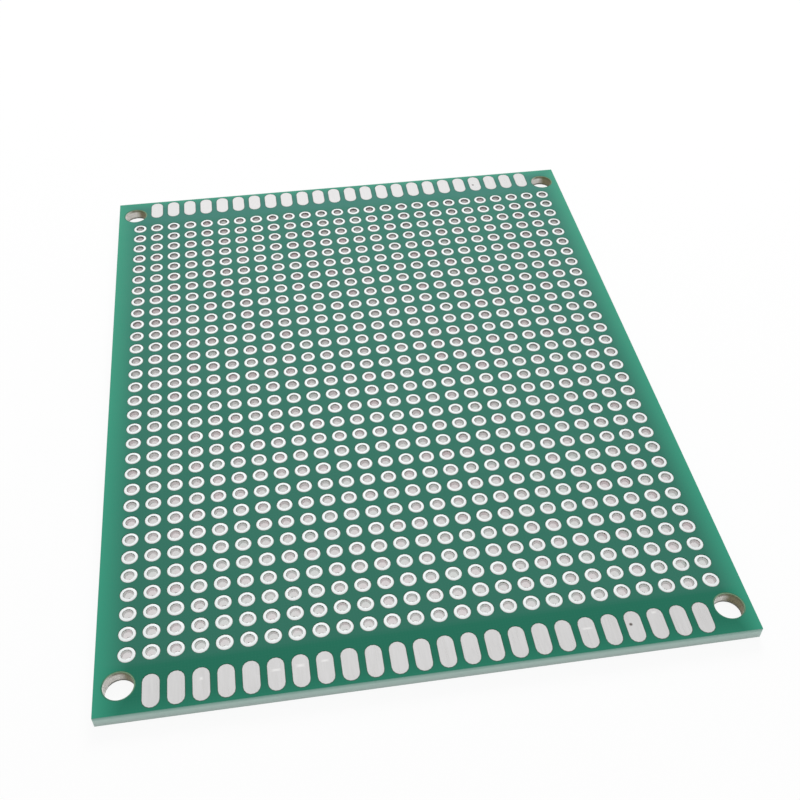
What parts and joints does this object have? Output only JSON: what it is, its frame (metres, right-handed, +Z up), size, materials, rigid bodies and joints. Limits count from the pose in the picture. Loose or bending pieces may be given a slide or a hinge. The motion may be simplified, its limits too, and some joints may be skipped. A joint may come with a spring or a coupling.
{
  "type": "prototype board",
  "caption": "Flat green circuit board for building prototypes, with a grid of plated component holes, oblong pads along both ends and a mounting hole in each corner.",
  "frame": {"origin": "centre of the board's outline, on the crowns of the underside pads that it rests on", "axes": "+X across the board, +Y along it from the front end to the rear end, +Z up out of the upper face"},
  "size_m": [0.07, 0.09, 0.0016],
  "materials": {
    "laminate": "pale green-grey glass-epoxy laminate, cut edge",
    "solder_mask": "satin green solder mask",
    "tin_rings": "hot-air-levelled tin, satin",
    "tin_end_pads": "hot-air-levelled tin, satin, nearly flat"
  },
  "bodies": {
    "root": {"substrate": "laminate", "top_solder_mask": "solder_mask", "underside_solder_mask": "solder_mask", "plated_row_01": "tin_rings", "plated_row_02": "tin_rings", "plated_row_03": "tin_rings", "plated_row_04": "tin_rings", "plated_row_05": "tin_rings", "plated_row_06": "tin_rings", "plated_row_07": "tin_rings", "plated_row_08": "tin_rings", "plated_row_09": "tin_rings", "plated_row_10": "tin_rings", "plated_row_11": "tin_rings", "plated_row_12": "tin_rings", "plated_row_13": "tin_rings", "plated_row_14": "tin_rings", "plated_row_15": "tin_rings", "plated_row_16": "tin_rings", "plated_row_17": "tin_rings", "plated_row_18": "tin_rings", "plated_row_19": "tin_rings", "plated_row_20": "tin_rings", "plated_row_21": "tin_rings", "plated_row_22": "tin_rings", "plated_row_23": "tin_rings", "plated_row_24": "tin_rings", "plated_row_25": "tin_rings", "plated_row_26": "tin_rings", "plated_row_27": "tin_rings", "plated_row_28": "tin_rings", "plated_row_29": "tin_rings", "plated_row_30": "tin_rings", "plated_row_31": "tin_rings", "top_front_end_pads": "tin_end_pads", "top_rear_end_pads": "tin_end_pads", "underside_front_end_pads": "tin_end_pads", "underside_rear_end_pads": "tin_end_pads"}
  },
  "joints": []
}
